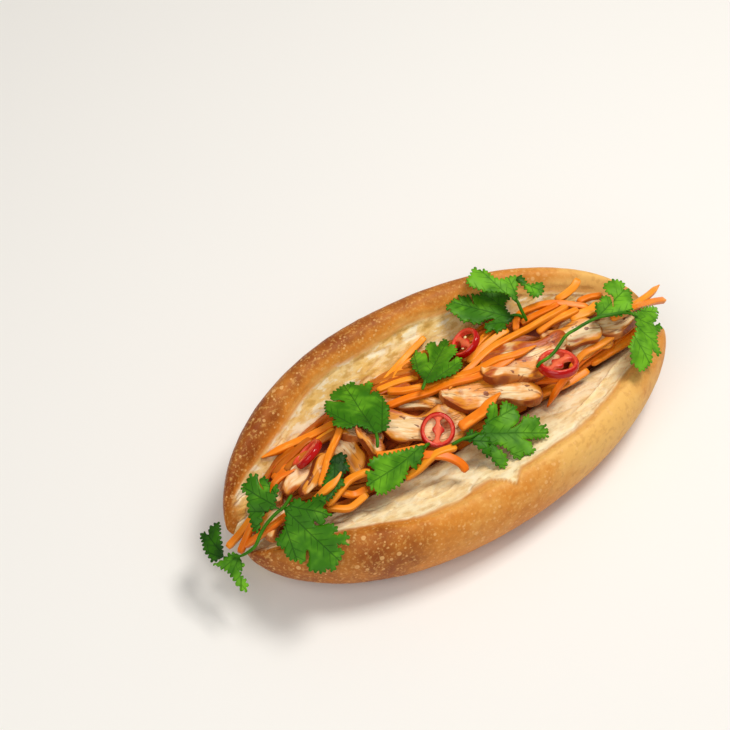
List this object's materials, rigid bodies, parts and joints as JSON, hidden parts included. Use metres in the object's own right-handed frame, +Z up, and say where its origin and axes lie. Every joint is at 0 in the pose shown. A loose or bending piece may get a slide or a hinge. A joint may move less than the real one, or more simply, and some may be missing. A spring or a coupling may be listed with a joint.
{
  "type": "banh mi sandwich",
  "caption": "Split crusty roll lying open, filled with carrot strips, sliced grilled chicken, chili rings and cilantro sprigs.",
  "frame": {"origin": "on the flat underside of the roll, near the middle of its length, on the surface that it rests on", "axes": "+X along the roll, +Y towards the taller half, +Z up"},
  "size_m": [0.2595, 0.1203, 0.0631],
  "materials": {
    "bread": "baked crust, cream crumb on the cut faces",
    "carrot": "moist",
    "chicken": "grilled, moist",
    "chili": "glossy skin",
    "cilantro": "satin leaf"
  },
  "bodies": {
    "root": {"bread": "bread", "carrot_heap": "carrot", "chicken_1": "chicken", "chicken_2": "chicken", "chicken_3": "chicken", "chicken_4": "chicken", "chicken_5": "chicken", "chicken_6": "chicken", "chicken_7": "chicken", "chicken_8": "chicken", "chicken_9": "chicken", "chicken_10": "chicken", "chicken_11": "chicken", "chicken_12": "chicken", "chicken_13": "chicken", "chicken_14": "chicken", "chili_1": "chili", "chili_2": "chili", "chili_3": "chili", "chili_4": "chili", "cilantro_1": "cilantro", "cilantro_2": "cilantro", "cilantro_3": "cilantro", "cilantro_4": "cilantro", "cilantro_5": "cilantro", "cilantro_6": "cilantro", "cilantro_7": "cilantro", "cilantro_8": "cilantro", "cilantro_9": "cilantro"}
  },
  "joints": []
}
